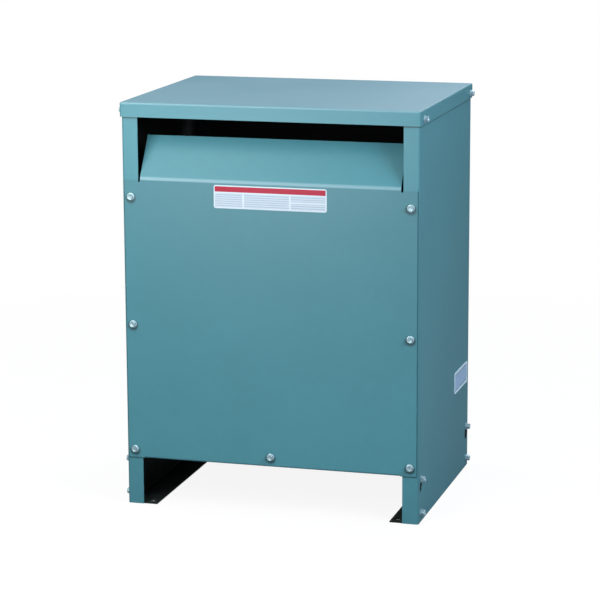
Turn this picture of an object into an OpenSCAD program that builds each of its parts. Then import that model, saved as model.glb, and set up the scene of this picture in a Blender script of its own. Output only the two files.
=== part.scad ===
// Ventilated dry-type power transformer.
// A sheet-steel enclosure stands on two base rails, with a three-phase core and its coils inside.
// Millimetres. Origin on the floor at the middle of the footprint, front towards -Y, +Z up.

/* [Enclosure] */
// Width over the side panels
body_w = 700; // [680:5:900]
// Depth over the side panels
body_d = 540; // [480:5:800]
// Height from the floor to the top of the cover
overall_h = 950; // [930:5:1200]
// Thickness of the enclosure sheet
sheet_t = 2; // [1.5:0.1:3]
// Inner radius of the sheet bends
bend_r = 3; // [1:0.5:4]
// Width of the flanges that the side panels turn in at front and rear
post_w = 38; // [32:1:50]
// Gap between the side panels' lower edge and the floor
floor_gap = 1; // [0.5:0.5:4]
// Clearance at the ends of the rails and sills
end_gap = 0.5; // [0.3:0.1:0.9]

/* [Cover] */
// Height of the cover's turned-down lip
lip_h = 34; // [25:1:50]
// Reach of the cover past the side panels
cover_side_reach = 3; // [2.5:0.5:10]
// Reach of the cover past the posts at front and rear
cover_front_reach = 5; // [4.5:0.5:20]
// Outer radius of the cover's edges
cover_edge_r = 5; // [1:0.5:5]

/* [Front and rear panels] */
// Step from the side panel's outside in to the panel's edge
panel_inset = 5; // [3:0.5:12]
// Height of the air opening between the foot of the panel's bend and the cover's lip
vent_h = 146; // [110:1:170]
// Height that the sloped baffle climbs from the corner of the bend
baffle_rise = 92; // [60:1:100]
// Distance that the baffle's top edge leans in behind the panel
baffle_lean = 60; // [40:1:75]
// Gap between the baffle's ends and the posts
baffle_gap = 5; // [4:0.5:14]
// Depth of the relief notch at each end of the bend
relief_depth = 3; // [1:0.5:15]
// Inner radius of the bend between panel and baffle
baffle_bend_r = 16; // [2:0.5:18]
// Depth of the stiffening return along the panel's lower edge
panel_return = 14; // [8:1:25]
// Drop of the panel's lower edge below the sill
panel_drop = 5; // [4:0.5:10]

/* [Base] */
// Height of the base rails
rail_h = 118; // [100:1:160]
// Width of the rails' flanges
rail_flange = 67; // [60:1:90]
// Thickness of the rail steel
rail_t = 3; // [2:0.5:5]
// Inner radius of the rail bends
rail_bend_r = 3; // [2:0.5:6]
// Height of the sills that tie the rails together at front and rear
sill_h = 40; // [30:1:60]
// Depth of the sills' foot
sill_foot = 30; // [20:1:40]
// Diameter of the anchor holes in the feet
anchor_d = 14; // [10:0.5:18]
// Distance from a rail's inner edge to the anchor hole centres
anchor_edge = 15; // [12:1:22]
// Distance from a rail's end to the anchor hole centres
anchor_end = 20; // [14:1:60]
// Distance from the front or rear to the bolts that join panel and rail
side_bolt_inset = 25; // [20:1:60]
// Height of the upper of those bolts
side_bolt_z = 102; // [80:1:104]
// Width of the slot at the top of each keyhole
keyhole_slot_w = 9; // [6:0.5:12]
// Diameter of the round end of each keyhole
keyhole_d = 26; // [14:1:30]
// Drop from the slot's top to the middle of the round end
keyhole_drop = 18; // [12:1:30]

/* [Core] */
// Width of each core leg
leg_w = 90; // [70:1:95]
// Depth of the lamination stack
stack_d = 110; // [80:1:140]
// Height of the yokes
yoke_h = 90; // [70:1:110]
// Height of the isolator pads under the clamps
pad_h = 12; // [8:1:25]
// Length of the isolator pads along the rails
pad_len = 50; // [30:1:60]
// Width of the isolator pads
pad_w = 44; // [30:1:50]
// Radius of the isolator pads' corners
pad_r = 6; // [2:1:12]

/* [Clamps] */
// Thickness of the clamp channels
clamp_t = 5; // [3:0.5:8]
// Inner radius of the clamp channels' bends
clamp_bend_r = 5; // [3:0.5:8]
// Height of a clamp channel past its yoke
clamp_extra = 5; // [2:1:15]
// Step from the clamp's outer face to the yoke's outer face
yoke_step = 10; // [5:1:15]
// Clearance between the clamps' ends and the rails' webs
clamp_end_gap = 5; // [3:1:15]
// Diameter of the tie rods between upper and lower clamps
rod_d = 12; // [10:1:16]
// Clearance round the tie rods in the clamps
rod_clearance = 0.5; // [0.3:0.1:1]
// Distance from the outer windings' faces to the tie rod centres
rod_gap = 12; // [10:1:20]
// Distance from the tie rod centres to the edges of the clamps' flanges
rod_edge = 13; // [12:1:20]
// Distance from the clamps' ends to the tie rod centres
rod_inset = 38; // [20:1:50]
// Height of the tie rods' nuts
nut_h = 10; // [6:1:14]
// Width of the tie rods' nuts over their corners
nut_d = 22; // [20:0.5:26]
// Length of rod that stands past each nut
rod_end = 6; // [2:1:12]

/* [Coils] */
// Height of the inner windings
coil_h = 420; // [320:5:440]
// Wall of the inner windings
inner_wall = 16; // [10:1:20]
// Wall of the outer windings
outer_wall = 14; // [8:1:18]
// Clearance between a leg and its inner winding
leg_gap = 5; // [3:1:8]
// Width of the air duct between the windings
duct_w = 10; // [6:1:14]
// Gap between neighbouring coils
phase_gap = 10; // [6:1:20]
// Radius of the inner windings' inside corners
coil_corner_r = 8; // [4:1:14]
// Step from the inner winding's ends to the outer winding's ends
outer_step = 10; // [6:1:20]
// Width of the spacer sticks in the ducts
spacer_w = 14; // [8:1:20]
// Distance of the front and rear spacer sticks from a coil's centre
spacer_offset = 24; // [14:1:30]
// Height of the blocks between coils and clamps
block_h = 20; // [16:1:30]
// Width of those blocks
block_w = 24; // [16:1:30]
// Distance of the blocks from a coil's centre
block_offset = 45; // [36:1:50]

/* [Terminals] */
// Width of the line bars
bar_w = 40; // [25:1:46]
// Thickness of the line and neutral bars
bar_t = 6; // [4:0.5:8]
// Gap between an outer winding and its line bar
bar_gap = 12; // [9:1:18]
// Length of the line bars' drop in front of the coils
bar_drop = 200; // [120:5:260]
// Diameter of the lug holes in the bars
lug_hole_d = 11; // [8:0.5:14]
// Pitch of the paired lug holes
lug_pitch = 44; // [36:1:60]
// Length of the neutral bar
neutral_len = 460; // [380:5:540]
// Height of the neutral bar's section
neutral_h = 40; // [30:1:50]
// Diameter of the neutral bar's stand-off insulators
standoff_d = 28; // [20:1:36]
// Reach of the neutral bar past the lower clamp's flanges
neutral_reach = 8; // [5:1:20]

/* [Tap boards] */
// Width of the tap boards on the outer windings
tap_w = 70; // [50:1:80]
// Length of the tap boards
tap_len = 120; // [90:1:130]
// Thickness of the tap boards
tap_t = 5; // [3:0.5:6]
// Height of a tap board's lower end over the outer winding's lower end
tap_lift = 12; // [5:1:30]
// Number of tap pads on each board
tap_count = 5; // [3:1:6]
// Diameter of the tap pads
tap_pad_d = 14; // [10:0.5:16]
// Height that the tap pads stand off their board
tap_pad_h = 3; // [1:0.5:4]
// Distance from the board's edges to the outermost pads
tap_margin = 5; // [2:1:10]

/* [Hidden] */

paint = "cadetblue";
base_paint = "darkslategray";
core_steel = "dimgray";
varnish = "saddlebrown";
board = "burlywood";
bar_metal = "silver";

cut = 1;            // overrun of a cutting tool past a face
arc_steps = 8;      // flats in a small sheet bend
corner_steps = 8;   // flats in a coil's corner

half_w = body_w / 2;
half_d = body_d / 2;
inside_w = half_w - sheet_t;
inside_d = half_d - sheet_t;
post_edge = half_w - post_w;
cover_top = overall_h - sheet_t;
lip_z = overall_h - lip_h;
panel_top = lip_z - vent_h;
panel_z = rail_h - panel_drop;
panel_edge = half_w - panel_inset;
baffle_edge = post_edge - baffle_gap;
baffle_corner = panel_top + (baffle_bend_r + sheet_t) * tan(atan2(baffle_lean, baffle_rise) / 2);

rail_end = inside_d - bend_r - end_gap;
rail_edge = inside_w - rail_flange;
sill_edge = post_edge - end_gap;

clamp_h = yoke_h + clamp_extra;
clamp_z = rail_h + pad_h;
block_z = clamp_z + clamp_h;
coil_z = block_z + block_h;
coil_top = coil_z + coil_h;
upper_clamp_z = coil_top + block_h;
upper_clamp_top = upper_clamp_z + clamp_h;
bottom_yoke_z = clamp_z + yoke_step;
top_yoke_z = upper_clamp_top - yoke_step - yoke_h;
leg_z = bottom_yoke_z + yoke_h;

winding_wall = leg_gap + inner_wall + duct_w + outer_wall;
leg_pitch = leg_w + 2 * winding_wall + phase_gap;
core_w = 2 * leg_pitch + leg_w;
coil_half_d = stack_d / 2 + winding_wall;
clamp_face = stack_d / 2;
rod_y = coil_half_d + rod_gap;
clamp_tip = rod_y + rod_edge;
clamp_half_len = inside_w - rail_t - clamp_end_gap;
rod_x = clamp_half_len - rod_inset;
pad_x = inside_w - rail_flange / 2;
pad_y = (clamp_face + clamp_tip) / 2;
bar_y = coil_half_d + bar_gap;
neutral_y = clamp_tip + neutral_reach;
neutral_z = clamp_z + clamp_h / 2;

// Plane geometry: unit vector, left-hand normal and a turned vector
function unit(v) = v / norm(v);
function left_of(v) = [-v[1], v[0]];
function turned(v, a) = [v[0] * cos(a) - v[1] * sin(a), v[0] * sin(a) + v[1] * cos(a)];
function turn_angle(u, v) = atan2(u[0] * v[1] - u[1] * v[0], u * v);
function reversed(list) = [for (i = [len(list) - 1:-1:0]) list[i]];

// Arc of one side of a bent strip at corner p, between directions u and v
function bend_arc(p, u, v, t, r, side) =
    let (
        angle = turn_angle(u, v),
        turn = sign(angle),
        centre = p + unit(v - u) * (r + t / 2) / cos(angle / 2),
        radius = r + t / 2 - turn * side * t / 2,
        first = -turn * left_of(u)
    )
    [for (i = [0:arc_steps]) centre + radius * turned(first, angle * i / arc_steps)];

// One side of a strip that follows path, with side 1 on its left and -1 on its right, and a radius for each bend
function strip_side(path, t, r, side) =
    let (
        last = len(path) - 1,
        first_way = unit(path[1] - path[0]),
        last_way = unit(path[last] - path[last - 1]),
        radii = is_list(r) ? r : [for (i = [1:1:last - 1]) r]
    )
    concat(
        [path[0] + left_of(first_way) * side * t / 2],
        [for (i = [1:1:last - 1])
            each bend_arc(path[i], unit(path[i] - path[i - 1]), unit(path[i + 1] - path[i]), t, radii[i - 1], side)],
        [path[last] + left_of(last_way) * side * t / 2]
    );

// Section of a sheet of thickness t bent along the middle line path, with r the inner radius of all its bends
// or a list of them
module bent_sheet(path, t, r) {
    polygon(concat(strip_side(path, t, r, 1), reversed(strip_side(path, t, r, -1))));
}

// Rectangle about the origin with corners rounded by radius r
module rounded_plate(w, d, r, steps) {
    corners = [[1, 1, 0], [-1, 1, 90], [-1, -1, 180], [1, -1, 270]];
    polygon([for (c = corners) for (i = [0:steps])
        [c[0] * (w / 2 - r), c[1] * (d / 2 - r)] + r * turned([1, 0], c[2] + 90 * i / steps)]);
}

// Extrusion along X of a section drawn in Y and Z
module along_x(length) {
    rotate([90, 0, 90]) linear_extrude(length, center = true) children();
}

// Extrusion along Y of a section drawn in X and Z
module along_y(length) {
    rotate([90, 0, 0]) linear_extrude(length, center = true) children();
}

// Box between two corners
module block(low, high) {
    translate(low) cube(high - low);
}

// The cover is a shallow pan with a rounded rim, and it sits on the side panels' top edges
module top_cover() {
    w = body_w + 2 * cover_side_reach;
    d = body_d + 2 * cover_front_reach;
    r = cover_edge_r;
    lip_half_w = w / 2 - sheet_t;
    lip_half_d = d / 2 - sheet_t;
    color(paint) difference() {
        intersection() {
            translate([0, 0, lip_z]) linear_extrude(lip_h) rounded_plate(w, d, r, arc_steps);
            translate([0, 0, lip_z]) along_y(d) rounded_plate(w, 2 * lip_h, r, arc_steps);
            translate([0, 0, lip_z]) along_x(w) rounded_plate(d, 2 * lip_h, r, arc_steps);
        }
        block([-lip_half_w, -lip_half_d, lip_z - cut], [lip_half_w, lip_half_d, cover_top]);
    }
}

// A keyhole lets a side panel drop over the heads of the bolts in its rail
module keyhole() {
    slot_bottom = side_bolt_z - keyhole_drop;
    rotate([0, 90, 0]) {
        translate([-side_bolt_z, 0, 0]) cylinder(h = sheet_t + 2 * cut, d = keyhole_slot_w, $fn = 48);
        translate([-slot_bottom, 0, 0]) cylinder(h = sheet_t + 2 * cut, d = keyhole_d, $fn = 48);
    }
    block([0, -keyhole_slot_w / 2, slot_bottom], [sheet_t + 2 * cut, keyhole_slot_w / 2, side_bolt_z]);
}

// Each side panel turns in at front and rear, so that its flanges are the four corner posts
module side_panel() {
    web = half_w - sheet_t / 2;
    flange = half_d - sheet_t / 2;
    section = [[post_edge, -flange], [web, -flange], [web, flange], [post_edge, flange]];
    color(paint) difference() {
        translate([0, 0, floor_gap]) linear_extrude(cover_top - floor_gap)
            bent_sheet(section, sheet_t, bend_r);
        for (y = [-1, 1] * (half_d - side_bolt_inset))
            translate([inside_w - cut, y, 0]) keyhole();
    }
}

// The panel closes the space between the posts and leans back above the bend as an air baffle
module vent_panel() {
    face = -half_d - sheet_t / 2;
    return_z = panel_z + sheet_t / 2;
    shoulder = panel_top - relief_depth;
    section = [
        [face + panel_return, return_z],
        [face, return_z],
        [face, baffle_corner],
        [face + baffle_lean, baffle_corner + baffle_rise]
    ];
    color(paint) {
        along_x(2 * baffle_edge) bent_sheet(section, sheet_t, [bend_r, baffle_bend_r]);
        for (side = [-1, 1])
            left_or_right(side) {
                block([baffle_edge, face - sheet_t / 2, panel_z], [panel_edge, face + sheet_t / 2, shoulder]);
                block([post_edge, face - sheet_t / 2, shoulder], [panel_edge, face + sheet_t / 2, panel_top]);
            }
    }
}

// Left or right copy of what is modelled on the right
module left_or_right(side) {
    if (side > 0) children();
    else mirror([1, 0, 0]) children();
}

// The sill ties the rails together and takes the middle screw of the panel in front of it
module sill() {
    face = -half_d + sheet_t / 2;
    foot = rail_h + sheet_t / 2;
    color(base_paint) along_x(2 * sill_edge)
        bent_sheet([[face, rail_h + sill_h], [face, foot], [face + sill_foot, foot]], sheet_t, bend_r);
}

// A channel open to the inside: its lower flange is the foot and its upper flange carries the core
module base_rail() {
    web = inside_w - rail_t / 2;
    low = rail_t / 2;
    high = rail_h - rail_t / 2;
    color(base_paint) difference() {
        along_y(2 * rail_end)
            bent_sheet([[rail_edge, low], [web, low], [web, high], [rail_edge, high]], rail_t, rail_bend_r);
        for (y = [-1, 1] * (rail_end - anchor_end))
            translate([rail_edge + anchor_edge, y, -cut])
                cylinder(h = rail_t + 2 * cut, d = anchor_d, $fn = 48);
    }
}

// Rubber pad between a rail and a lower clamp
module isolator() {
    color("black") translate([pad_x, pad_y, rail_h]) linear_extrude(pad_h)
        rounded_plate(pad_w, pad_len, pad_r, arc_steps);
}

// Channel that grips one face of a yoke, with its flanges turned away from the core
module clamp_channel(z, rod_flange_z) {
    web = clamp_face + clamp_t / 2;
    low = z + clamp_t / 2;
    high = z + clamp_h - clamp_t / 2;
    color(base_paint) difference() {
        along_x(2 * clamp_half_len)
            bent_sheet([[clamp_tip, low], [web, low], [web, high], [clamp_tip, high]], clamp_t, clamp_bend_r);
        for (x = [-rod_x, rod_x])
            translate([x, rod_y, rod_flange_z - cut])
                cylinder(h = clamp_t + 2 * cut, d = rod_d + 2 * rod_clearance, $fn = 48);
    }
}

// Rod with a nut below the lower clamp's flange and one above the upper clamp's flange
module tie_rod() {
    low = block_z - clamp_t;
    high = upper_clamp_z + clamp_t;
    color(bar_metal) translate([rod_x, rod_y, 0]) {
        translate([0, 0, low - nut_h - rod_end])
            cylinder(h = high - low + 2 * (nut_h + rod_end), d = rod_d, $fn = 48);
        translate([0, 0, low - nut_h]) cylinder(h = nut_h, d = nut_d, $fn = 6);
        translate([0, 0, high]) cylinder(h = nut_h, d = nut_d, $fn = 6);
    }
}

// Lamination stacks
module yoke(z) {
    color(core_steel) block([-core_w / 2, -stack_d / 2, z], [core_w / 2, stack_d / 2, z + yoke_h]);
}

module core_leg(phase) {
    x = phase * leg_pitch;
    color(core_steel) block([x - leg_w / 2, -stack_d / 2, leg_z], [x + leg_w / 2, stack_d / 2, top_yoke_z]);
}

// Ring wound round a leg, from one distance off the leg to another
module winding(phase, inside, outside, z, h) {
    corner = coil_corner_r - leg_gap;
    translate([phase * leg_pitch, 0, z]) linear_extrude(h) difference() {
        rounded_plate(leg_w + 2 * outside, stack_d + 2 * outside, corner + outside, corner_steps);
        rounded_plate(leg_w + 2 * inside, stack_d + 2 * inside, corner + inside, corner_steps);
    }
}

module inner_winding(phase) {
    color(board) winding(phase, leg_gap, leg_gap + inner_wall, coil_z, coil_h);
}

module outer_winding(phase) {
    inside = leg_gap + inner_wall + duct_w;
    color(varnish) winding(phase, inside, inside + outer_wall, coil_z + outer_step, coil_h - 2 * outer_step);
}

// Sticks that hold the air duct open between the two windings of a coil
module duct_spacers(phase) {
    x = phase * leg_pitch;
    low = leg_gap + inner_wall;
    side = leg_w / 2 + low;
    front = stack_d / 2 + low;
    color(board) for (turn = [-1, 1]) {
        for (offset = [-spacer_offset, spacer_offset])
            front_or_rear(turn) block(
                [x + offset - spacer_w / 2, front, coil_z],
                [x + offset + spacer_w / 2, front + duct_w, coil_top]);
        translate([x, 0, 0]) left_or_right(turn)
            block([side, -spacer_w / 2, coil_z], [side + duct_w, spacer_w / 2, coil_top]);
    }
}

// Front or rear copy of what is modelled at the rear
module front_or_rear(side) {
    if (side > 0) children();
    else mirror([0, 1, 0]) children();
}

// Insulating blocks between the clamps' flanges and the ends of the coils
module coil_blocks(z) {
    low = clamp_face + clamp_t + leg_gap / 2;
    high = coil_half_d;
    color(board) for (phase = [-1:1]) for (offset = [-block_offset, block_offset]) for (side = [-1, 1])
        front_or_rear(side) block(
            [phase * leg_pitch + offset - block_w / 2, low, z],
            [phase * leg_pitch + offset + block_w / 2, high, z + block_h]);
}

// Lug hole through the middle of a bar that stands in X and Z
module lug_hole(place) {
    translate(place) rotate([90, 0, 0])
        cylinder(h = bar_t + 2 * cut, d = lug_hole_d, center = true, $fn = 48);
}

// Bar that leaves the top of an inner winding and drops in front of the coil to its lug holes
module line_bar(phase) {
    x = phase * leg_pitch;
    seat = coil_top + bar_t / 2;
    face = -bar_y - bar_t / 2;
    pad_z = coil_top - bar_drop + lug_pitch;
    color(bar_metal) difference() {
        translate([x, 0, 0]) along_x(bar_w) bent_sheet(
            [[-clamp_face - leg_gap, seat], [face, seat], [face, coil_top - bar_drop]], bar_t, bar_t / 2);
        for (dz = [-lug_pitch / 2, lug_pitch / 2]) lug_hole([x, face, pad_z + dz]);
    }
}

// Board on the front of an outer winding, with a slanting row of pads for the voltage taps
module tap_board(phase) {
    x = phase * leg_pitch;
    low = coil_z + outer_step + tap_lift;
    face = -coil_half_d - tap_t;
    middle = low + tap_len / 2;
    run_x = tap_w - tap_pad_d - 2 * tap_margin;
    run_z = tap_len - tap_pad_d - 2 * tap_margin;
    color(board) {
        block([x - tap_w / 2, face, low], [x + tap_w / 2, -coil_half_d, low + tap_len]);
        for (i = [0:tap_count - 1]) {
            share = i / (tap_count - 1) - 1 / 2;
            translate([x + run_x * share, face, middle + run_z * share]) rotate([90, 0, 0])
                cylinder(h = tap_pad_h, d = tap_pad_d, $fn = 48);
        }
    }
}

// Bar for the neutral conductors, carried on the lower front clamp
module neutral_bar() {
    half = neutral_len / 2;
    face = -neutral_y - bar_t / 2;
    color(bar_metal) difference() {
        block(
            [-half, -neutral_y - bar_t, neutral_z - neutral_h / 2],
            [half, -neutral_y, neutral_z + neutral_h / 2]);
        for (x = [-1, 1] * (half - lug_pitch)) for (dx = [-lug_pitch / 2, lug_pitch / 2])
            lug_hole([x + dx, face, neutral_z]);
    }
}

// Insulators between the lower front clamp and the neutral bar
module neutral_standoffs() {
    web = clamp_face + clamp_t;
    color("firebrick") for (x = [-leg_pitch / 2, leg_pitch / 2])
        translate([x, -web, neutral_z]) rotate([90, 0, 0])
            cylinder(h = neutral_y - web, d = standoff_d, $fn = 48);
}

top_cover();
left_or_right(-1) side_panel();  // left_side_panel
side_panel();  // right_side_panel
vent_panel();  // front_panel
front_or_rear(-1) vent_panel();  // rear_panel
sill();  // front_sill
front_or_rear(-1) sill();  // rear_sill
left_or_right(-1) base_rail();  // left_base_rail
base_rail();  // right_base_rail
left_or_right(-1) front_or_rear(-1) isolator();  // front_left_isolator
front_or_rear(-1) isolator();  // front_right_isolator
left_or_right(-1) isolator();  // rear_left_isolator
isolator();  // rear_right_isolator
front_or_rear(-1) clamp_channel(clamp_z, block_z - clamp_t);  // lower_front_clamp
clamp_channel(clamp_z, block_z - clamp_t);  // lower_rear_clamp
front_or_rear(-1) clamp_channel(upper_clamp_z, upper_clamp_z);  // upper_front_clamp
clamp_channel(upper_clamp_z, upper_clamp_z);  // upper_rear_clamp
left_or_right(-1) front_or_rear(-1) tie_rod();  // front_left_tie_rod
front_or_rear(-1) tie_rod();  // front_right_tie_rod
left_or_right(-1) tie_rod();  // rear_left_tie_rod
tie_rod();  // rear_right_tie_rod
yoke(bottom_yoke_z);  // bottom_yoke
yoke(top_yoke_z);  // top_yoke
core_leg(-1);  // left_core_leg
core_leg(0);  // centre_core_leg
core_leg(1);  // right_core_leg
inner_winding(-1);  // left_inner_winding
inner_winding(0);  // centre_inner_winding
inner_winding(1);  // right_inner_winding
outer_winding(-1);  // left_outer_winding
outer_winding(0);  // centre_outer_winding
outer_winding(1);  // right_outer_winding
duct_spacers(-1);  // left_duct_spacers
duct_spacers(0);  // centre_duct_spacers
duct_spacers(1);  // right_duct_spacers
coil_blocks(block_z);  // lower_coil_blocks
coil_blocks(coil_top);  // upper_coil_blocks
line_bar(-1);  // left_line_bar
line_bar(0);  // centre_line_bar
line_bar(1);  // right_line_bar
neutral_bar();
neutral_standoffs();
tap_board(-1);  // left_tap_board
tap_board(0);  // centre_tap_board
tap_board(1);  // right_tap_board
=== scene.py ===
import math

import bmesh
import bpy
import numpy as np
from mathutils import Matrix, Vector


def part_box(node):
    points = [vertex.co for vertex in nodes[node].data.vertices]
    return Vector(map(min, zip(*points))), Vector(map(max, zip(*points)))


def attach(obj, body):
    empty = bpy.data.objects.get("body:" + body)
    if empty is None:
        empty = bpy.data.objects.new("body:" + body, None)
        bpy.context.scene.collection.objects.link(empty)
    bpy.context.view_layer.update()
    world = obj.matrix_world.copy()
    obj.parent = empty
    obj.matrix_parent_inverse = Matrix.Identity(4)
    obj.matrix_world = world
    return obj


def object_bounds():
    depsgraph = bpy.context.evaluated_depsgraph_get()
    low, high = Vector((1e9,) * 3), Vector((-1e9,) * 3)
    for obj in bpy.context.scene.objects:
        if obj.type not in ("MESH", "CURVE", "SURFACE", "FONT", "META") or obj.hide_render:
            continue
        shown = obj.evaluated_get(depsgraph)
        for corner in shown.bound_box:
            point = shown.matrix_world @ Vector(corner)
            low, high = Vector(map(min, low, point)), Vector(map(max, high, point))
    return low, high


mm = 0.001                                # metres

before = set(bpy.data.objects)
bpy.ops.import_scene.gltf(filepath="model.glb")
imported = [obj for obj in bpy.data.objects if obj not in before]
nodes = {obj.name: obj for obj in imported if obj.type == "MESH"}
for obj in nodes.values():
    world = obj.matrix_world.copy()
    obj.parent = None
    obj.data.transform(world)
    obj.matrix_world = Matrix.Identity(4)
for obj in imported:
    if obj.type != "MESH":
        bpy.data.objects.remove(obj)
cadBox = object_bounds()
scene = bpy.context.scene
scene.view_settings.view_transform = "Standard"
print("frame loaded:", len(nodes), "nodes")


# camera, solved from the cabinet's corners
viewpoint = {
    "place": (1.5543, -5.4879, 1.6399),   # metres, in the part's frame
    "yaw": 15.859,                        # degrees to the cabinet's right
    "pitch": 11.763,                      # degrees down
    "roll": -0.257,
    "focal": 2441.7,                      # pixels, in a frame as wide as the next value
    "frameWidth": 600,
    "sensor": 36.0,
    "reach": 100,                         # metres
}


def makeCamera(view):
    data = bpy.data.cameras.new("viewCamera")
    data.sensor_width = view["sensor"]
    data.lens = view["focal"] / view["frameWidth"] * view["sensor"]
    data.clip_end = view["reach"]
    cam = bpy.data.objects.new("viewCamera", data)
    scene.collection.objects.link(cam)
    turn = (Matrix.Rotation(math.radians(view["yaw"]), 4, "Z")
            @ Matrix.Rotation(math.radians(90 - view["pitch"]), 4, "X")
            @ Matrix.Rotation(math.radians(view["roll"]), 4, "Z"))
    cam.matrix_world = Matrix.Translation(view["place"]) @ turn
    scene.camera = cam


makeCamera(viewpoint)
print("camera set")


# small helpers for shader nodes
noiseSpan = (0.3, 0.7)           # levels that most of a noise lies between
bumpStrength = 0.6


def addNode(tree, kind, sockets=None, **settings):
    made = tree.nodes.new("ShaderNode" + kind)
    for key, value in settings.items():
        setattr(made, key, value)
    for key, value in (sockets or {}).items():
        if isinstance(value, bpy.types.NodeSocket):
            tree.links.new(value, made.inputs[key])
        else:
            made.inputs[key].default_value = value
    return made


def maths(tree, how, *values):
    made = addNode(tree, "Math", dict(enumerate(values)), operation=how)
    return made.outputs[0]


def blendColour(tree, share, first, second):
    made = addNode(tree, "Mix", {0: share, 6: first, 7: second}, data_type="RGBA")
    return made.outputs[2]


def ramp(tree, value, low, high, toLow=0.0, toHigh=1.0):     # clamped at both ends
    made = addNode(tree, "MapRange", {"Value": value, "From Min": low, "From Max": high,
                                      "To Min": toLow, "To Max": toHigh})
    return made.outputs[0]


def spread(tree, noise, ends):       # carries a noise to two ends, such as least and most roughness
    return ramp(tree, noise, *noiseSpan, *ends)


def opaque(colour):
    return (*colour, 1.0)


def twoColours(tree, noise, edge, first, second):    # the edge is the levels between which they blend
    return blendColour(tree, ramp(tree, noise, *edge), opaque(first), opaque(second))


def mixTones(tree, first, second, share):            # share of the first noise, the rest of the second
    return maths(tree, "ADD", maths(tree, "MULTIPLY", first, share),
                 maths(tree, "MULTIPLY", second, 1 - share))


def grain(tree, place, scale, detail, rough=0.55, stretch=None):     # noise over metres, 0 to 1
    if stretch:
        place = addNode(tree, "Mapping", {"Vector": place, "Scale": stretch}).outputs[0]
    made = addNode(tree, "TexNoise", {"Vector": place, "Scale": scale, "Detail": detail,
                                      "Roughness": rough})
    return made.outputs["Fac"]


# 1 inside a rectangle of u and v, its edges in mm as low u, high u, low v, high v
def within(tree, u, v, box):
    lowU, highU, lowV, highV = box
    across = maths(tree, "COMPARE", u, (lowU + highU) / 2 * mm, (highU - lowU) / 2 * mm)
    along = maths(tree, "COMPARE", v, (lowV + highV) / 2 * mm, (highV - lowV) / 2 * mm)
    return maths(tree, "MULTIPLY", across, along)


def newFinish(name):
    mat = bpy.data.materials.new(name)
    mat.use_nodes = True
    tree = mat.node_tree
    tree.nodes.clear()
    out = addNode(tree, "OutputMaterial")
    skin = addNode(tree, "BsdfPrincipled")
    tree.links.new(skin.outputs[0], out.inputs["Surface"])
    spot = addNode(tree, "TexCoord")
    return mat, tree, skin, spot


def coatWith(tree, skin, colour, sheen, height, depth):   # colour, roughness and bump, the depth in metres
    tree.links.new(colour, skin.inputs["Base Color"])
    tree.links.new(sheen, skin.inputs["Roughness"])
    bump = addNode(tree, "Bump", {"Height": height, "Distance": depth, "Strength": bumpStrength})
    tree.links.new(bump.outputs[0], skin.inputs["Normal"])


def cornersOf(name):             # a node's low and high corner in mm
    return [np.array(corner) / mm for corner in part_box(name)]


def dress(names, mat):
    for name in names:
        for slot in nodes[name].material_slots:
            slot.material = mat


# screws of the front and rear panels, sizes in mm; painted shadows in the paint lie below them
panelScrews = {"flange": 18.0, "seat": 1.3, "flats": 12.5, "height": 8.0, "dish": 1.0,
               "inEdge": 15.0, "rises": (21.0, 320.0, 619.0), "middleRise": 23.0}
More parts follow.
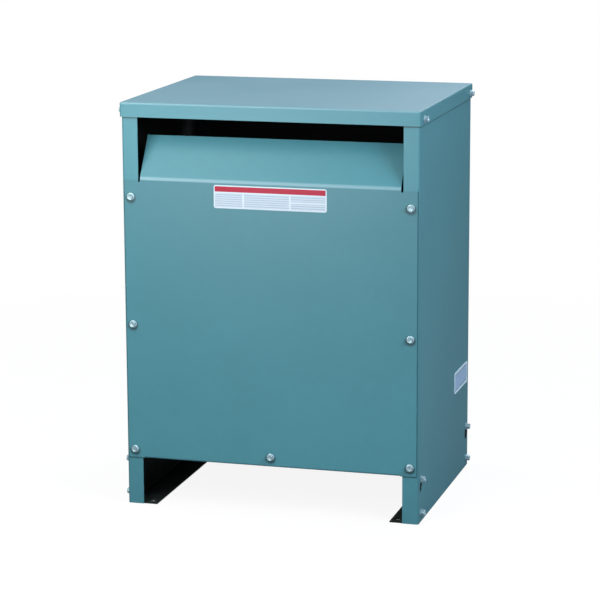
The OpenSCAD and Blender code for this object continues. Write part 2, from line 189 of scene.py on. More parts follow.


# enclosure paint: satin enamel outside; the faces that look into the cabinet are painted near-black as
# painted shade for the dark interior
paintFinish = {
    "nodes": ("top_cover", "left_side_panel", "right_side_panel", "front_panel", "rear_panel"),
    "colour": (0.055, 0.216, 0.267),
    "rough": (0.42, 0.50),
    "specular": 0.5,
    "peel": {"scale": 340, "detail": 1.5},
    "peelDepth": 0.12 * mm,
    "drift": {"scale": 2.2, "detail": 2.0},
    "fine": {"scale": 45, "detail": 4.0},
    "driftShare": 0.7,           # of the drift in the patches, the rest is fine
    "patchEdge": (0.35, 0.65),
    "patchShift": 0.05,          # share by which the colour drifts over the panels
    # painted shade: near-black for the faces that look into the cabinet
    "inside": (0.004, 0.005, 0.005),
    "insideRough": 0.9,
    "wallShare": 0.94,           # of the half width, past which a face belongs to a side wall
    "lidShare": 0.98,            # of the height, past which a face belongs to the cover's sheet
    "inwards": -0.05,            # below this sum of normal times place a face looks inwards
    # dust with a painted sheen: the cover's top is paled and blued, partly for the bright room it reflects
    "dustAndSheen": (0.46, 0.47, 0.55),
    "dustSheenShare": 0.25,           # on the cover's top, dust with a painted pale sheen
    "dustRough": 0.2,            # added roughness there
    "dustSlope": (0.8, 1.0),     # upward parts of the normal between which dust begins to lie
    "dustDrift": (-0.4, 0.9),    # levels of the drift between which it gathers
    # painted shade: a dark teal for the seams under the lip, beside and below the panels, and for the
    # shadows below the screws
    "paintedShade": (0.012, 0.050, 0.062),
    "shadeWidth": 2.2,           # mm, along the panels' edges
    "lipWidth": 4.0,             # mm, under the cover's lip
    "seamShare": (0.45, 0.70),   # least and most of the painted shade along both
    "postSlack": 0.8,            # mm either way of a post's face, in which a point lies on it
    "panelSlack": 1.0,           # mm behind a panel's face
    "wallSlack": 1.0,            # mm outside the walls
    "shadowReach": (9.0, 15.0),   # mm from a painted shadow's middle, over which it fades
    "shadowShare": 0.85,          # of painted shade in that shadow
    "shadowSag": 3.5,             # mm that the painted shadow hangs below the screw
    "ventHeight": 146,           # mm, from the panels' bend to the cover's lip
    "panelShade": (0.84, 1.03),    # share of the colour at the panels' upper end and at their lower end: painted shade, darker at the top
    "panelShadeSlack": (0.5, 2.0),     # mm behind a panel's face and above its bend that darken too
    "wornAndHighlight": (0.24, 0.40, 0.46),  # painted highlight, pale along the bends
    "coverHighlight": 0.50,
    "rimStart": (0.05, 0.35),    # upward parts of the normal, over which the cover's rim begins and ends
    "rimEnd": (0.99, 0.85),
    "rimAhead": (0.05, 0.3),     # forward or backward part of it, which keeps out the side rims
    "baffleHighlight": 0.50,
    "bendStart": (0.02, 0.12),   # upward parts of the normal, over which the panels' bend begins
    "baffleSlope": 0.546,        # upward part of the baffles' normals
    "bendEnd": (0.02, 0.14),     # how far below the baffles' slope the bend ends
    "dullAndShade": (0.050, 0.130, 0.150),    # painted shade on the posts' outer bends, where they turn away
    "bendShadeShare": 0.25,
    "postStart": (0.1, 0.4),     # sideways parts of the normal, over which the posts' bend begins and ends
    "postEnd": (0.995, 0.95),
}


# painted shade: dark lines on the walls under the cover's lip, on the posts along the edges of the panels
# and along the panels' feet
def seamShade(tree, at, cloud, look):
    wide, slack = look["shadeWidth"], look["wallSlack"]
    absX = maths(tree, "ABSOLUTE", at.outputs[0])
    absY = maths(tree, "ABSOLUTE", at.outputs[1])
    z = at.outputs[2]
    lip = cornersOf("top_cover")[0][2]
    bend = lip - look["ventHeight"]
    wallLow, wallHigh = cornersOf("right_side_panel")
    panelLow, panelHigh = cornersOf("rear_panel")
    onPost = maths(tree, "COMPARE", absY, wallHigh[1] * mm, look["postSlack"] * mm)
    besidePanel = within(tree, absX, z, (panelHigh[0], panelHigh[0] + wide, panelLow[2] - wide, bend))
    belowPanel = within(tree, absX, z, (wallLow[0], panelHigh[0], panelLow[2] - wide, panelLow[2]))
    edges = maths(tree, "MULTIPLY", maths(tree, "MAXIMUM", besidePanel, belowPanel), onPost)
    onPanel = maths(tree, "GREATER_THAN", absY, (panelHigh[1] - look["panelSlack"]) * mm)
    foot = within(tree, absX, z, (0, panelHigh[0], panelLow[2], panelLow[2] + wide))
    edges = maths(tree, "MAXIMUM", edges, maths(tree, "MULTIPLY", foot, onPanel))
    onWalls = maths(tree, "LESS_THAN", absY, (wallHigh[1] + slack) * mm)
    underLip = within(tree, absX, z, (0, wallHigh[0] + slack, lip - look["lipWidth"], lip))
    underLip = maths(tree, "MULTIPLY", underLip, onWalls)
    share = spread(tree, cloud, look["seamShare"])
    return maths(tree, "MULTIPLY", maths(tree, "MAXIMUM", edges, underLip), share)


# a painted shadow hangs below each screw of the front and rear panels
def screwShadow(tree, at, look):
    low, high = cornersOf("rear_panel")
    absX = maths(tree, "ABSOLUTE", at.outputs[0])
    absY = maths(tree, "ABSOLUTE", at.outputs[1])
    spots = [(high[0] - panelScrews["inEdge"], low[2] + rise) for rise in panelScrews["rises"]]
    spots.append((0, low[2] + panelScrews["middleRise"]))
    nearest = 1.0                # metres, further than any stain reaches
    for x, z in spots:
        across = maths(tree, "SUBTRACT", absX, x * mm)
        down = maths(tree, "SUBTRACT", at.outputs[2], (z - look["shadowSag"]) * mm)
        squares = maths(tree, "ADD", maths(tree, "POWER", across, 2.0), maths(tree, "POWER", down, 2.0))
        nearest = maths(tree, "MINIMUM", nearest, maths(tree, "SQRT", squares))
    near, far = look["shadowReach"]
    # the painted shadow, fading out from below the screw
    stain = ramp(tree, nearest, near * mm, far * mm, look["shadowShare"], 0.0)
    onPanel = maths(tree, "GREATER_THAN", absY, (high[1] - look["panelSlack"]) * mm)
    return maths(tree, "MULTIPLY", stain, onPanel)


# painted shade: the panels' faces darken towards their upper end and lighten a little at their foot
def panelShadeFade(tree, at, look):
    low, high = cornersOf("rear_panel")
    bend = cornersOf("top_cover")[0][2] - look["ventHeight"]
    behind, above = look["panelShadeSlack"]
    upper, lower = look["panelShade"]
    z = at.outputs[2]
    onPanel = maths(tree, "GREATER_THAN", maths(tree, "ABSOLUTE", at.outputs[1]), (high[1] - behind) * mm)
    onPanel = maths(tree, "MULTIPLY", onPanel, maths(tree, "LESS_THAN", z, (bend + above) * mm))
    fade = ramp(tree, z, low[2] * mm, bend * mm, lower, upper)
    change = maths(tree, "MULTIPLY", onPanel, maths(tree, "SUBTRACT", fade, 1.0))
    return maths(tree, "ADD", 1.0, change)


# painted highlight: the cover's front and rear rims between wall and sheet, and the panels' bend
# between wall and baffle, are paler
def bendHighlight(tree, facing, onCover, look):
    slope = facing.outputs[2]
    ahead = maths(tree, "ABSOLUTE", facing.outputs[1])
    rim = maths(tree, "MULTIPLY", ramp(tree, slope, *look["rimStart"]), ramp(tree, slope, *look["rimEnd"]))
    rim = maths(tree, "MULTIPLY", rim, ramp(tree, ahead, *look["rimAhead"]))
    rim = maths(tree, "MULTIPLY", maths(tree, "MULTIPLY", rim, look["coverHighlight"]), onCover)
    bendEnd = [look["baffleSlope"] - below for below in look["bendEnd"]]
    foot = maths(tree, "MULTIPLY", ramp(tree, slope, *look["bendStart"]), ramp(tree, slope, *bendEnd))
    offCover = maths(tree, "SUBTRACT", 1.0, onCover)
    foot = maths(tree, "MULTIPLY", maths(tree, "MULTIPLY", foot, look["baffleHighlight"]), offCover)
    return maths(tree, "ADD", rim, foot)


# painted shade: the outer bends of the posts are darker, between their front and side faces
def bendShade(tree, facing, onWall, look):
    aside = maths(tree, "ABSOLUTE", facing.outputs[0])
    begun = ramp(tree, aside, *look["postStart"])
    bend = maths(tree, "MULTIPLY", begun, ramp(tree, aside, *look["postEnd"]))
    return maths(tree, "MULTIPLY", maths(tree, "MULTIPLY", bend, onWall), look["bendShadeShare"])


def enclosurePaint(look):
    mat, tree, skin, spot = newFinish("enclosurePaint")
    place = spot.outputs["Object"]
    at = addNode(tree, "SeparateXYZ", {0: place})
    facing = addNode(tree, "SeparateXYZ", {0: spot.outputs["Normal"]})
    high = cadBox[1]

    # a face looks inwards where its normal points against its place about the middle of the cabinet
    onWall = maths(tree, "GREATER_THAN", maths(tree, "ABSOLUTE", at.outputs[0]), high.x * look["wallShare"])
    onLid = maths(tree, "GREATER_THAN", at.outputs[2], high.z * look["lidShare"])
    acrossX = maths(tree, "MULTIPLY", maths(tree, "MULTIPLY", facing.outputs[0], at.outputs[0]), onWall)
    acrossY = maths(tree, "MULTIPLY", facing.outputs[1], at.outputs[1])
    acrossZ = maths(tree, "MULTIPLY", facing.outputs[2], onLid)
    outwards = maths(tree, "ADD", maths(tree, "ADD", acrossX, acrossY), acrossZ)
    inside = maths(tree, "LESS_THAN", outwards, look["inwards"])

    drift = grain(tree, place, **look["drift"])
    fine = grain(tree, place, **look["fine"])
    patches = mixTones(tree, drift, fine, look["driftShare"])
    dark = [c * (1 - look["patchShift"]) for c in look["colour"]]
    light = [c * (1 + look["patchShift"]) for c in look["colour"]]
    coat = twoColours(tree, patches, look["patchEdge"], dark, light)
    fade = panelShadeFade(tree, at, look)
    coat = addNode(tree, "VectorMath", {0: coat, "Scale": fade}, operation="SCALE").outputs[0]

    # dust and painted sheen on the cover's top
    settled = maths(tree, "MULTIPLY", ramp(tree, facing.outputs[2], *look["dustSlope"]), onLid)
    settled = maths(tree, "MULTIPLY", settled, ramp(tree, drift, *look["dustDrift"]))
    dustySheen = maths(tree, "MULTIPLY", settled, look["dustSheenShare"])
    dulled = maths(tree, "MULTIPLY", settled, look["dustRough"])
    # painted shade in the seams and painted shadows below the screws
    shaded = maths(tree, "MAXIMUM", seamShade(tree, at, fine, look), screwShadow(tree, at, look))
    coat = blendColour(tree, dustySheen, coat, opaque(look["dustAndSheen"]))
    coat = blendColour(tree, bendHighlight(tree, facing, onLid, look), coat, opaque(look["wornAndHighlight"]))
    coat = blendColour(tree, bendShade(tree, facing, onWall, look), coat, opaque(look["dullAndShade"]))
    coat = blendColour(tree, shaded, coat, opaque(look["paintedShade"]))
    # painted shade: the inward faces go near-black
    coat = blendColour(tree, inside, coat, opaque(look["inside"]))
    sheen = maths(tree, "ADD", ramp(tree, fine, 0, 1, *look["rough"]), dulled)
    sheen = maths(tree, "MAXIMUM", sheen, maths(tree, "MULTIPLY", inside, look["insideRough"]))
    skin.inputs["Specular IOR Level"].default_value = look["specular"]
    coatWith(tree, skin, coat, sheen, grain(tree, place, **look["peel"]), look["peelDepth"])
    return mat


# dark enamel of the rails, sills and clamps, made near-black partly as painted shade for the shadow under
# and inside the cabinet, scuffed to a lighter grey
baseFinish = {
    "nodes": ("front_sill", "rear_sill", "left_base_rail", "right_base_rail", "lower_front_clamp",
              "lower_rear_clamp", "upper_front_clamp", "upper_rear_clamp"),
    "colour": (0.010, 0.016, 0.015),
    # in the base paint this is scuffed wear only
    "wornAndHighlight": (0.035, 0.045, 0.043),
    "scuff": {"scale": 28, "detail": 6.0, "rough": 0.65},
    "scuffEdge": (0.52, 0.75),
    "rough": (0.5, 0.7),
    "specular": 0.25,
    "peel": {"scale": 420, "detail": 2.0},
    "peelDepth": 0.1 * mm,
}


def basePaint(look):
    mat, tree, skin, spot = newFinish("basePaint")
    place = spot.outputs["Object"]
    scuff = grain(tree, place, **look["scuff"])
    coat = twoColours(tree, scuff, look["scuffEdge"], look["colour"], look["wornAndHighlight"])
    sheen = ramp(tree, scuff, 0, 1, *look["rough"])
    skin.inputs["Specular IOR Level"].default_value = look["specular"]
    coatWith(tree, skin, coat, sheen, grain(tree, place, **look["peel"]), look["peelDepth"])
    return mat


dress(paintFinish["nodes"], enclosurePaint(paintFinish))
dress(baseFinish["nodes"], basePaint(baseFinish))
print("cabinet painted")


# zinc plating of the rods and fasteners: bright steel with a cloudy passivated film, tinted teal, partly
# blue passivation and partly a painted reflection of the teal cabinet
platedFinish = {
    "nodes": ("front_left_tie_rod", "front_right_tie_rod", "rear_left_tie_rod", "rear_right_tie_rod"),
    "bright": (0.42, 0.58, 0.64),
    "cloudy": (0.25, 0.40, 0.46),
    "cloud": {"scale": 260, "detail": 4.0, "rough": 0.6},
    "cloudEdge": (0.35, 0.68),
    "rough": (0.40, 0.54),
    "metal": 0.45,
    "pits": {"scale": 1500, "detail": 2.0},
    "pitDepth": 0.03 * mm,
}


def zincPlating(look):
    mat, tree, skin, spot = newFinish("zincPlating")
    place = spot.outputs["Object"]
    cloud = grain(tree, place, **look["cloud"])
    coat = twoColours(tree, cloud, look["cloudEdge"], look["bright"], look["cloudy"])
    sheen = spread(tree, cloud, look["rough"])
    skin.inputs["Metallic"].default_value = look["metal"]
    coatWith(tree, skin, coat, sheen, grain(tree, place, **look["pits"]), look["pitDepth"])
    return mat


# core: varnished sheets stacked from front to rear, so their edges run as fine lines across the stack
coreFinish = {
    "nodes": ("bottom_yoke", "top_yoke", "left_core_leg", "centre_core_leg", "right_core_leg"),
    # near-black, partly painted shade for the dark inside of the cabinet
    "colour": (0.022, 0.022, 0.025),
    "edge": (0.060, 0.057, 0.054),
    "sheet": 0.6 * mm,           # pitch of the stack
    "sheetRun": 5,               # changes to the metre along a sheet
    "stack": {"scale": 1.0, "detail": 2.0, "rough": 0.5},
    "film": {"scale": 14, "detail": 4.0},
    "stackShare": 0.65,          # of the stack in the tone, the rest is film
    "toneEdge": (0.38, 0.64),
    "rough": (0.42, 0.66),
    "metal": 0.35,
    "stackDepth": 0.2 * mm,
}


def coreSteel(look):
    mat, tree, skin, spot = newFinish("coreSteel")
    place = spot.outputs["Object"]
    run = look["sheetRun"]
    stack = grain(tree, place, **look["stack"], stretch=(run, 1 / look["sheet"], run))
    film = grain(tree, place, **look["film"])
    tone = mixTones(tree, stack, film, look["stackShare"])
    coat = twoColours(tree, tone, look["toneEdge"], look["colour"], look["edge"])
    skin.inputs["Metallic"].default_value = look["metal"]
    coatWith(tree, skin, coat, spread(tree, film, look["rough"]), stack, look["stackDepth"])
    return mat


# windings: level turns under baked varnish, which pools between the turns and runs down in streaks
coilFinish = {
    "nodes": ("left_inner_winding", "left_outer_winding", "centre_inner_winding", "centre_outer_winding",
              "right_inner_winding", "right_outer_winding"),
    "crown": (0.085, 0.036, 0.015),
    "groove": (0.018, 0.008, 0.004),
    "turn": 4.5 * mm,            # height of a turn
    "roundness": 0.6,            # power that makes the turns' crowns broad
    "runs": {"scale": 1.0, "detail": 4.0, "rough": 0.6, "stretch": (70, 70, 6)},
    "runEdge": (0.3, 0.75),
    "runShare": (1.0, 0.35),     # of the crown's colour left beside and under a streak
    "rough": (0.28, 0.48),
    "turnDepth": 1.2 * mm,
}


def coilVarnish(look):
    mat, tree, skin, spot = newFinish("coilVarnish")
    place = spot.outputs["Object"]
    height = addNode(tree, "SeparateXYZ", {0: place}).outputs[2]
    swing = maths(tree, "SINE", maths(tree, "MULTIPLY", height, math.pi / look["turn"]))
    turns = maths(tree, "POWER", maths(tree, "ABSOLUTE", swing), look["roundness"])
    runs = grain(tree, place, **look["runs"])
    tone = maths(tree, "MULTIPLY", turns, ramp(tree, runs, *look["runEdge"], *look["runShare"]))
    coat = blendColour(tree, tone, opaque(look["groove"]), opaque(look["crown"]))
    coatWith(tree, skin, coat, spread(tree, runs, look["rough"]), turns, look["turnDepth"])
    return mat


# pressed fibre board: fine flecks over a slow mottle
boardFinish = {
    "nodes": ("left_duct_spacers", "centre_duct_spacers", "right_duct_spacers", "lower_coil_blocks",
              "upper_coil_blocks", "left_tap_board", "centre_tap_board", "right_tap_board"),
    "light": (0.27, 0.145, 0.065),
    "dark": (0.14, 0.065, 0.028),
    "fleck": {"scale": 1.0, "detail": 5.0, "rough": 0.7, "stretch": (900, 900, 260)},
    "mottle": {"scale": 22, "detail": 3.0},
    "fleckShare": 0.6,           # of the flecks in the tone, the rest is mottle
    "toneEdge": (0.36, 0.62),
    "rough": (0.48, 0.68),
    "fleckDepth": 0.15 * mm,
}


def fibreBoard(look):
    mat, tree, skin, spot = newFinish("fibreBoard")
    place = spot.outputs["Object"]
    fleck = grain(tree, place, **look["fleck"])
    mottle = grain(tree, place, **look["mottle"])
    tone = mixTones(tree, fleck, mottle, look["fleckShare"])
    coat = twoColours(tree, tone, look["toneEdge"], look["dark"], look["light"])
    coatWith(tree, skin, coat, spread(tree, mottle, look["rough"]), fleck, look["fleckDepth"])
    return mat


# rolled aluminium bar: bright metal with fine lines along its length
barFinish = {
    "upright": ("left_line_bar", "centre_line_bar", "right_line_bar"),
    "level": ("neutral_bar",),
    "bright": (0.70, 0.71, 0.73),
    # for the bar, the duller metal only
    "dullAndShade": (0.48, 0.49, 0.51),
    "acrossLines": 1600,         # lines to the metre
    "alongLines": 14,
    "lines": {"scale": 1.0, "detail": 3.0, "rough": 0.6},
    "stain": {"scale": 35, "detail": 4.0},
    "lineShare": 0.5,            # of the lines in the tone, the rest is stain
    "toneEdge": (0.38, 0.66),
    "rough": (0.30, 0.46),
    "metal": 1.0,
    "lineDepth": 0.05 * mm,
}


def rolledBar(look, name, stretch):
    mat, tree, skin, spot = newFinish(name)
    place = spot.outputs["Object"]
    lines = grain(tree, place, **look["lines"], stretch=stretch)
    stain = grain(tree, place, **look["stain"])
    tone = mixTones(tree, lines, stain, look["lineShare"])
    coat = twoColours(tree, tone, look["toneEdge"], look["bright"], look["dullAndShade"])
    skin.inputs["Metallic"].default_value = look["metal"]
    coatWith(tree, skin, coat, spread(tree, lines, look["rough"]), lines, look["lineDepth"])
    return mat


# moulded rubber with a grey bloom
rubberFinish = {
    "nodes": ("front_left_isolator", "front_right_isolator", "rear_left_isolator", "rear_right_isolator"),
    "colour": (0.014, 0.014, 0.015),
    "bloom": (0.045, 0.045, 0.046),
    "cloud": {"scale": 70, "detail": 5.0, "rough": 0.65},
    "cloudEdge": (0.45, 0.75),
    "rough": (0.72, 0.9),
    "specular": 0.3,
    "skin": {"scale": 900, "detail": 3.0},
    "skinDepth": 0.12 * mm,
}


def mouldedRubber(look):
    mat, tree, skin, spot = newFinish("mouldedRubber")
    place = spot.outputs["Object"]
    cloud = grain(tree, place, **look["cloud"])
    coat = twoColours(tree, cloud, look["cloudEdge"], look["colour"], look["bloom"])
    sheen = spread(tree, cloud, look["rough"])
    skin.inputs["Specular IOR Level"].default_value = look["specular"]
    coatWith(tree, skin, coat, sheen, grain(tree, place, **look["skin"]), look["skinDepth"])
    return mat


# red moulding resin with glass flecks
resinFinish = {
    "nodes": ("neutral_standoffs",),
    "colour": (0.20, 0.016, 0.012),
    "glass": (0.30, 0.045, 0.035),
    "fleck": {"scale": 480, "detail": 5.0, "rough": 0.7},
    "fleckEdge": (0.5, 0.72),
    "rough": (0.28, 0.42),
    "fleckDepth": 0.06 * mm,
}


def mouldedResin(look):
    mat, tree, skin, spot = newFinish("mouldedResin")
    fleck = grain(tree, spot.outputs["Object"], **look["fleck"])
    coat = twoColours(tree, fleck, look["fleckEdge"], look["colour"], look["glass"])
    coatWith(tree, skin, coat, spread(tree, fleck, look["rough"]), fleck, look["fleckDepth"])
    return mat


zinc = zincPlating(platedFinish)
dress(platedFinish["nodes"], zinc)
dress(coreFinish["nodes"], coreSteel(coreFinish))
dress(coilFinish["nodes"], coilVarnish(coilFinish))
dress(boardFinish["nodes"], fibreBoard(boardFinish))
across, along = barFinish["acrossLines"], barFinish["alongLines"]
dress(barFinish["upright"], rolledBar(barFinish, "uprightBar", (across, across, along)))
dress(barFinish["level"], rolledBar(barFinish, "levelBar", (along, across, across)))
dress(rubberFinish["nodes"], mouldedRubber(rubberFinish))
dress(resinFinish["nodes"], mouldedResin(resinFinish))
print("core, coils and terminals finished")


# pieces built of rings: each is rows of points round an axis, first and last row drawn to a point
mergeWithin = 0.001 * mm


def ringFaces(count, rows, cols):    # quads between neighbouring rows, closed round the columns
    first = np.arange(count)[:, None, None] * rows * cols
    row = np.arange(rows - 1)[None, :, None] * cols
    col = np.arange(cols)[None, None, :]
    beside = (col + 1) % cols
    quads = np.stack([first + row + col, first + row + beside,
                      first + row + cols + beside, first + row + cols + col], axis=-1)
    return quads.reshape(-1, 4)


def addPiece(name, points, mat, crease=35):    # points in metres: count, rows, columns, xyz
    count, rows, cols = points.shape[:3]
    mesh = bpy.data.meshes.new(name)
    mesh.from_pydata(points.reshape(-1, 3).tolist(), [], ringFaces(count, rows, cols).tolist())
    work = bmesh.new()
    work.from_mesh(mesh)
    bmesh.ops.remove_doubles(work, verts=work.verts, dist=mergeWithin)
    bmesh.ops.recalc_face_normals(work, faces=work.faces)
    work.to_mesh(mesh)
    work.free()
    mesh.shade_smooth()
    mesh.set_sharp_from_angle(angle=math.radians(crease))
    mesh.materials.append(mat)
    piece = bpy.data.objects.new(name, mesh)
    scene.collection.objects.link(piece)
    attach(piece, "root")


# places on an upright face: spot plus across times right, rise times up and out times the normal
def onFace(across, rise, out, spots, facing):
    up = np.array((0.0, 0.0, 1.0))
    normal = np.array(facing, dtype=float)
    right = np.cross(up, normal)
    return (np.asarray(spots, dtype=float)[:, None, None, :] + across[..., None] * right
            + rise[..., None] * up + out[..., None] * normal)


# hex heads with a round flange and a dished top, sizes in mm as for the panel screws
sideBolts = {"flange": 17.0, "seat": 1.8, "flats": 12.5, "height": 10.5, "dish": 2.4,
             "inEdge": 25.0, "rises": (23.0, 103.0)}
coverScrews = {"flange": 17.0, "seat": 1.8, "flats": 11.5, "height": 10.0, "dish": 2.2,
               "inEdge": 30.0, "rise": 13.0}
clampBolts = {"flange": 26.0, "seat": 2.4, "flats": 18.0, "height": 11.0, "dish": 1.2,
              "places": (-190.0, 0.0, 190.0), "webFace": 60.0}
headCols = 48                                # points round a head
spinStep = math.pi * (3 - math.sqrt(5))      # turn from one head to the next


# a head's rings follow a profile from the middle of the seat over the flange, up the flats and down
# into the dish; at each ring the circle is drawn in to a hexagon by the profile's third column, as
# radius times (1 - share + share cos 30 / cos(angle within a flat - 30))
def headPoints(head, spots, facing):
    rim, corner = head["flange"] / 2, head["flats"] / math.sqrt(3)
    seat, tall, dish = head["seat"], head["height"], head["dish"]
    profile = np.array([     # radius, height, share
        (0, 0, 0), (rim * 0.98, 0, 0), (rim, 0.25, 0), (rim, seat - 0.3, 0), (rim * 0.97, seat, 0),
        (corner * 1.12, seat + 0.3, 0.5), (corner, seat + 0.6, 1), (corner, tall - 1.1, 1),
        (corner * 0.95, tall - 0.5, 0.7), (corner * 0.84, tall, 0), (corner * 0.7, tall - 0.1, 0),
        (corner * 0.58, tall - dish * 0.5, 0), (corner * 0.44, tall - dish * 0.9, 0), (0, tall - dish, 0)])
    radius, height, share = profile.T[:, :, None]
    turn = np.arange(headCols) * 2 * math.pi / headCols
    sixth = math.pi / 3
    flat = math.cos(sixth / 2) / np.cos(turn % sixth - sixth / 2)
    reach = radius * (1 - share + share * flat)
    angle = turn + (np.arange(len(spots)) * spinStep)[:, None, None]
    out = np.broadcast_to(height, (len(spots), len(profile), headCols))
    return onFace(reach * np.cos(angle), reach * np.sin(angle), out, spots, facing) * mm


def addPanelScrews(name, panel, side, screw):        # side -1 at the front, 1 at the rear
    low, high = cornersOf(panel)
    face = low[1] if side < 0 else high[1]
    columns = (low[0] + screw["inEdge"], high[0] - screw["inEdge"])
    spots = [(x, face, low[2] + rise) for rise in screw["rises"] for x in columns]
    spots.append((0, face, low[2] + screw["middleRise"]))
    addPiece(name, headPoints(screw, spots, (0, side, 0)), zinc)


def addSideHeads(name, node, side, head, rises):     # side -1 at the left, 1 at the right
    low, high = cornersOf(node)
    face = low[0] if side < 0 else high[0]
    columns = (low[1] + head["inEdge"], high[1] - head["inEdge"])
    spots = [(face, y, rise) for rise in rises for y in columns]
    addPiece(name, headPoints(head, spots, (side, 0, 0)), zinc)


def addClampBolts(name, clamps, side, bolt):         # side -1 at the front, 1 at the rear
    middles = [sum(cornersOf(clamp))[2] / 2 for clamp in clamps]
    spots = [(x, side * bolt["webFace"], z) for z in middles for x in bolt["places"]]
    addPiece(name, headPoints(bolt, spots, (0, side, 0)), zinc)


addPanelScrews("frontPanelScrews", "front_panel", -1, panelScrews)
addPanelScrews("rearPanelScrews", "rear_panel", 1, panelScrews)
lipEdge = cornersOf("top_cover")[0][2]
for side, word in ((-1, "left"), (1, "right")):
    addSideHeads(word + "SideBolts", word + "_side_panel", side, sideBolts, sideBolts["rises"])
    addSideHeads(word + "CoverScrews", "top_cover", side, coverScrews, [lipEdge + coverScrews["rise"]])
addClampBolts("frontClampBolts", ("lower_front_clamp", "upper_front_clamp"), -1, clampBolts)
addClampBolts("rearClampBolts", ("lower_rear_clamp", "upper_rear_clamp"), 1, clampBolts)
print("screws and bolts added")


# a thin plate's rings are one rounded rectangle, a corner arc moved out by the straight halves of
# the sides, drawn in by the profile's inset and scaled to the middle by its share
def platePoints(plate, spot, facing, cols=96):
    share, inset, height = np.array(plate["profile"]).T[:, :, None]
    turn = (np.arange(cols) + 0.5) * 2 * math.pi / cols
    radius = plate["corner"] - inset
    halfWide, halfTall = (plate[key] / 2 - plate["corner"] for key in ("width", "height"))
    across = share * (np.sign(np.cos(turn)) * halfWide + radius * np.cos(turn))
    rise = share * (np.sign(np.sin(turn)) * halfTall + radius * np.sin(turn))
    out = np.broadcast_to(height, across.shape)
    return onFace(across[None], rise[None], out[None], [spot], facing) * mm


# plain plate on the front panel: white, with a red band and blank ruled cells, sizes in mm
frontPlate = {
    "width": 266.0, "height": 53.0, "corner": 5.0,
    "middle": (3.0, 740.5),      # across from the cabinet's middle, up from the floor
    "profile": ((0, 0, 0), (1, 0.2, 0), (1, 0, 0.1), (1, 0, 0.35), (1, 0.25, 0.5), (1, 1.5, 0.55),
                (0, 1.5, 0.55)),      # share, inset, height
    "white": (0.52, 0.62, 0.70),
    "band": (0.33, 0.004, 0.030),
    "cell": (0.43, 0.53, 0.63),
    "rule": (0.22, 0.28, 0.35),
    "bandBox": (-127.5, 133.5, 752.0, 764.5),     # low x, high x, low z, high z
    "cellBoxes": ((-127, -62, 717, 749), (-58, 48, 717, 749), (52, 133, 735, 749), (52, 133, 717, 731)),
    "rulePitch": 5.0,
    "ruleShare": 0.22,
    "fade": {"scale": 90, "detail": 4.0},
    "fadeEdge": (0.45, 0.9),
    "fadeShare": 0.12,           # most by which the print fades to white
    "rough": (0.36, 0.46),
    "specular": 0.3,
    "printDepth": 0.02,
}


def printedPlate(look):
    mat, tree, skin, spot = newFinish("printedPlate")
    place = spot.outputs["Object"]
    at = addNode(tree, "SeparateXYZ", {0: place})
    x, z = at.outputs[0], at.outputs[2]
    cells = [within(tree, x, z, box) for box in look["cellBoxes"]]
    inCell = cells[0]
    for cell in cells[1:]:
        inCell = maths(tree, "MAXIMUM", inCell, cell)
    step = maths(tree, "FRACT", maths(tree, "DIVIDE", z, look["rulePitch"] * mm))
    ruled = maths(tree, "MULTIPLY", inCell, maths(tree, "LESS_THAN", step, look["ruleShare"]))
    fade = grain(tree, place, **look["fade"])
    faded = ramp(tree, fade, *look["fadeEdge"], 0.0, look["fadeShare"])
    coat = blendColour(tree, inCell, opaque(look["white"]), opaque(look["cell"]))
    coat = blendColour(tree, ruled, coat, opaque(look["rule"]))
    coat = blendColour(tree, faded, coat, opaque(look["white"]))
    coat = blendColour(tree, within(tree, x, z, look["bandBox"]), coat, opaque(look["band"]))
    skin.inputs["Specular IOR Level"].default_value = look["specular"]
    coatWith(tree, skin, coat, spread(tree, fade, look["rough"]), fade, look["printDepth"] * mm)
    return mat


# bare rating plate on the right side: a pale field inside a raised rim, sizes in mm
sidePlate = {
    "width": 144.0, "height": 52.0, "corner": 5.5,
    "middle": (178.0, 242.0),    # back from the cabinet's middle, up from the floor
    "rimWidth": 5.0,
    "grooveWidth": 3.5,          # darker line inside the rim
    "profile": ((0, 0, 0), (1, 0.2, 0), (1, 0, 0.15), (1, 0, 1.1), (1, 0.4, 1.5), (1, 4.6, 1.5),
                (1, 5.0, 0.9), (0, 5.0, 0.9)),    # share, inset, height
    "rim": (0.60, 0.80, 0.92),
    "groove": (0.20, 0.32, 0.44),
    "field": (0.28, 0.45, 0.69),
    "stain": (0.36, 0.53, 0.76),
    "cloud": {"scale": 60, "detail": 4.0, "rough": 0.6},
    "cloudEdge": (0.35, 0.7),
    "rough": (0.36, 0.48),
    "lines": {"scale": 1.0, "detail": 3.0, "rough": 0.6, "stretch": (1500, 20, 1500)},
    "lineDepth": 0.03,
}


def bareRatingPlate(look):
    mat, tree, skin, spot = newFinish("bareRatingPlate")
    place = spot.outputs["Object"]
    at = addNode(tree, "SeparateXYZ", {0: place})
    y, z = look["middle"]
    masks = []
    for inset in (look["rimWidth"], look["rimWidth"] + look["grooveWidth"]):
        wide, tall = look["width"] / 2 - inset, look["height"] / 2 - inset
        masks.append(within(tree, at.outputs[1], at.outputs[2], (y - wide, y + wide, z - tall, z + tall)))
    inRim, inGroove = masks
    cloud = grain(tree, place, **look["cloud"])
    lines = grain(tree, place, **look["lines"])
    field = twoColours(tree, cloud, look["cloudEdge"], look["field"], look["stain"])
    coat = blendColour(tree, inRim, opaque(look["rim"]), opaque(look["groove"]))
    coat = blendColour(tree, inGroove, coat, field)
    coatWith(tree, skin, coat, spread(tree, cloud, look["rough"]), lines, look["lineDepth"] * mm)
    return mat


panelFace = cornersOf("front_panel")[0][1]
sideFace = cornersOf("right_side_panel")[1][0]
x, z = frontPlate["middle"]
addPiece("frontPlate", platePoints(frontPlate, (x, panelFace, z), (0, -1, 0)), printedPlate(frontPlate))
y, z = sidePlate["middle"]
addPiece("sidePlate", platePoints(sidePlate, (sideFace, y, z), (1, 0, 0)), bareRatingPlate(sidePlate))
print("plates added")


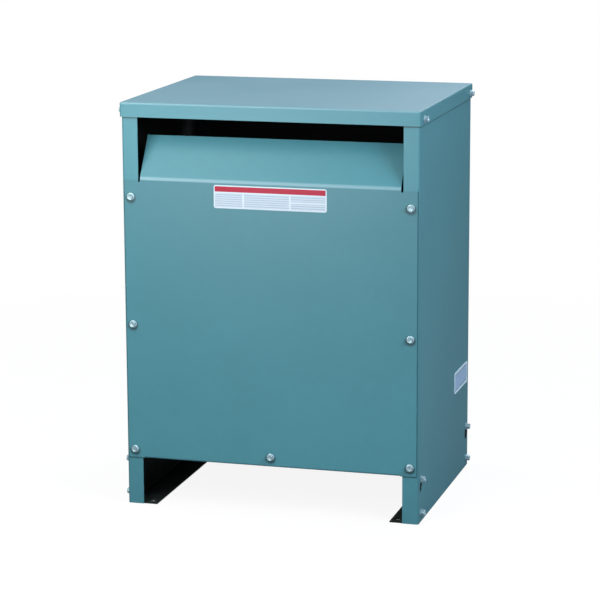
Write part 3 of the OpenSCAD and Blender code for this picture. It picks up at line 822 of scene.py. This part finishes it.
# studio: pale floor, soft lamps, plain world
studio = {
    "floorHalf": 8.0,                 # metres
    "floorColour": (0.24, 0.25, 0.26),
    "floorWhite": (0.95, 0.95, 0.95),
    # painted shade: darker floor under the feet, seen through the anchor holes
    "shadeUnderFeet": (0.40, 0.42, 0.40),
    "floorGlow": (0.90, 1.0),         # shares of plain white where the floor is seen, near and far off
    "floorFade": (0.9, 2.6),          # metres from the middle over which the first share goes to the second
    "floorMirrored": (0.02, 0.22),    # shares of it in mirrored and passed-through rays, near and far off
    "mirroredFade": (0.5, 4.0),
    "backdrop": (-0.27, 0.95, 0.1),   # way to the white backdrop behind the cabinet
    "backdropEdge": (0.80, 0.95),     # cosines between which the backdrop fades out to the room
    "backdropMirrored": 0.4,
    "white": (1, 1, 1),
    "ambient": (0.7, 0.9, 1.0),
    "ambientStrength": 0.1,
    "aim": (0, 0, 0.6),               # what the lamps face, in metres

    # bearing and rise in degrees from the cabinet's front, distance and size in metres
    "lamps": {
        "rightLow": {"bearing": 60, "rise": 25, "away": 2.6, "size": 1.2, "power": 52,
                     "tint": (0.97, 0.98, 1.04)},
        "frontFill": {"bearing": -12, "rise": 10, "away": 1.7, "size": 0.7, "power": 13.5,
                      "tint": (1, 1, 1)},
        "leftNear": {"bearing": -32, "rise": 25, "away": 1.6, "size": 0.45, "power": 6.8,
                     "tint": (1.03, 1, 0.95)},
        "leftHigh": {"bearing": -32, "rise": 50, "away": 1.7, "size": 0.5, "power": 5.2,
                     "tint": (1.06, 1, 0.92)},
        "overhead": {"bearing": 0, "rise": 90, "away": 2.0, "size": 1.2, "power": 9,
                     "tint": (0.95, 0.98, 1.05)},
        "leftSide": {"bearing": -105, "rise": 20, "away": 2.4, "size": 1.2, "power": 22,
                     "tint": (1, 1, 1)},
        "rearRight": {"bearing": 160, "rise": 47, "away": 2.6, "size": 1.3, "power": 40,
                      "tint": (0.95, 0.97, 1.06)},
    },
}


# 1 for rays from the camera, and a share of mirrored and passed-through ones
def seenRays(tree, mirrored):
    path = addNode(tree, "LightPath")
    others = maths(tree, "MAXIMUM", path.outputs["Is Glossy Ray"], path.outputs["Is Transmission Ray"])
    return maths(tree, "MAXIMUM", path.outputs["Is Camera Ray"], maths(tree, "MULTIPLY", others, mirrored))


def makeWorld(plan):
    world = bpy.data.worlds.new("studioWorld")
    scene.world = world
    world.use_nodes = True
    tree = world.node_tree
    tree.nodes.clear()
    out = addNode(tree, "OutputWorld")
    way = addNode(tree, "TexCoord").outputs["Generated"]
    toBackdrop = tuple(Vector(plan["backdrop"]).normalized())
    along = addNode(tree, "VectorMath", {0: way, 1: toBackdrop}, operation="DOT_PRODUCT").outputs["Value"]
    sweep = ramp(tree, along, *plan["backdropEdge"], 0.0, plan["backdropMirrored"])
    room = addNode(tree, "Background", {"Color": opaque(plan["ambient"]),
                                        "Strength": plan["ambientStrength"]})
    plain = addNode(tree, "Background", {"Color": opaque(plan["white"]), "Strength": 1.0})
    mixed = addNode(tree, "MixShader", {0: seenRays(tree, sweep), 1: room.outputs[0], 2: plain.outputs[0]})
    tree.links.new(mixed.outputs[0], out.inputs["Surface"])


def floorFinish(plan):
    mat = bpy.data.materials.new("studioFloor")
    mat.use_nodes = True
    tree = mat.node_tree
    tree.nodes.clear()
    out = addNode(tree, "OutputMaterial")
    place = addNode(tree, "TexCoord").outputs["Object"]
    away = addNode(tree, "VectorMath", {0: place}, operation="LENGTH").outputs["Value"]
    share = ramp(tree, away, *plan["floorFade"], *plan["floorGlow"])
    mirrored = ramp(tree, away, *plan["mirroredFade"], *plan["floorMirrored"])

    # painted shade: the feet cover the floor, so it is a darker grey where it shows up through the anchor
    # holes
    at = addNode(tree, "SeparateXYZ", {0: place})
    footLow, footHigh = cornersOf("right_base_rail")
    absX, absY = (maths(tree, "ABSOLUTE", at.outputs[i]) for i in (0, 1))
    covered = within(tree, absX, absY, (footLow[0], footHigh[0], 0, footHigh[1]))
    share = maths(tree, "MULTIPLY", share, maths(tree, "SUBTRACT", 1.0, covered))
    ground = blendColour(tree, covered, opaque(plan["floorWhite"]), opaque(plan["shadeUnderFeet"]))
    cloth = addNode(tree, "BsdfDiffuse", {"Color": opaque(plan["floorColour"])})
    pale = addNode(tree, "BsdfDiffuse", {"Color": ground})
    glow = addNode(tree, "Emission", {"Color": opaque(plan["white"]), "Strength": 1.0})
    shown = addNode(tree, "MixShader", {0: share, 1: pale.outputs[0], 2: glow.outputs[0]})
    seen = seenRays(tree, mirrored)
    mixed = addNode(tree, "MixShader", {0: seen, 1: cloth.outputs[0], 2: shown.outputs[0]})
    tree.links.new(mixed.outputs[0], out.inputs["Surface"])
    return mat


def makeFloor(plan):
    half = plan["floorHalf"]
    corners = [(-half, -half, 0), (half, -half, 0), (half, half, 0), (-half, half, 0)]
    mesh = bpy.data.meshes.new("studioFloor")
    mesh.from_pydata(corners, [], [(0, 1, 2, 3)])
    mesh.materials.append(floorFinish(plan))
    floor = bpy.data.objects.new("studioFloor", mesh)
    scene.collection.objects.link(floor)


def makeLamps(plan):
    aim = Vector(plan["aim"])
    for name, lamp in plan["lamps"].items():
        bearing = math.radians(lamp["bearing"])
        rise = math.radians(lamp["rise"])
        level = math.cos(rise)
        out = Vector((math.sin(bearing) * level, -math.cos(bearing) * level, math.sin(rise)))
        data = bpy.data.lights.new(name, "AREA")
        data.shape = "SQUARE"
        data.size = lamp["size"]
        data.energy = lamp["power"]
        data.color = lamp["tint"]
        obj = bpy.data.objects.new(name, data)
        obj.location = aim + out * lamp["away"]
        obj.rotation_mode = "QUATERNION"
        obj.rotation_quaternion = (-out).to_track_quat("-Z", "Y")
        scene.collection.objects.link(obj)


makeWorld(studio)
makeFloor(studio)
makeLamps(studio)
print("studio lit")
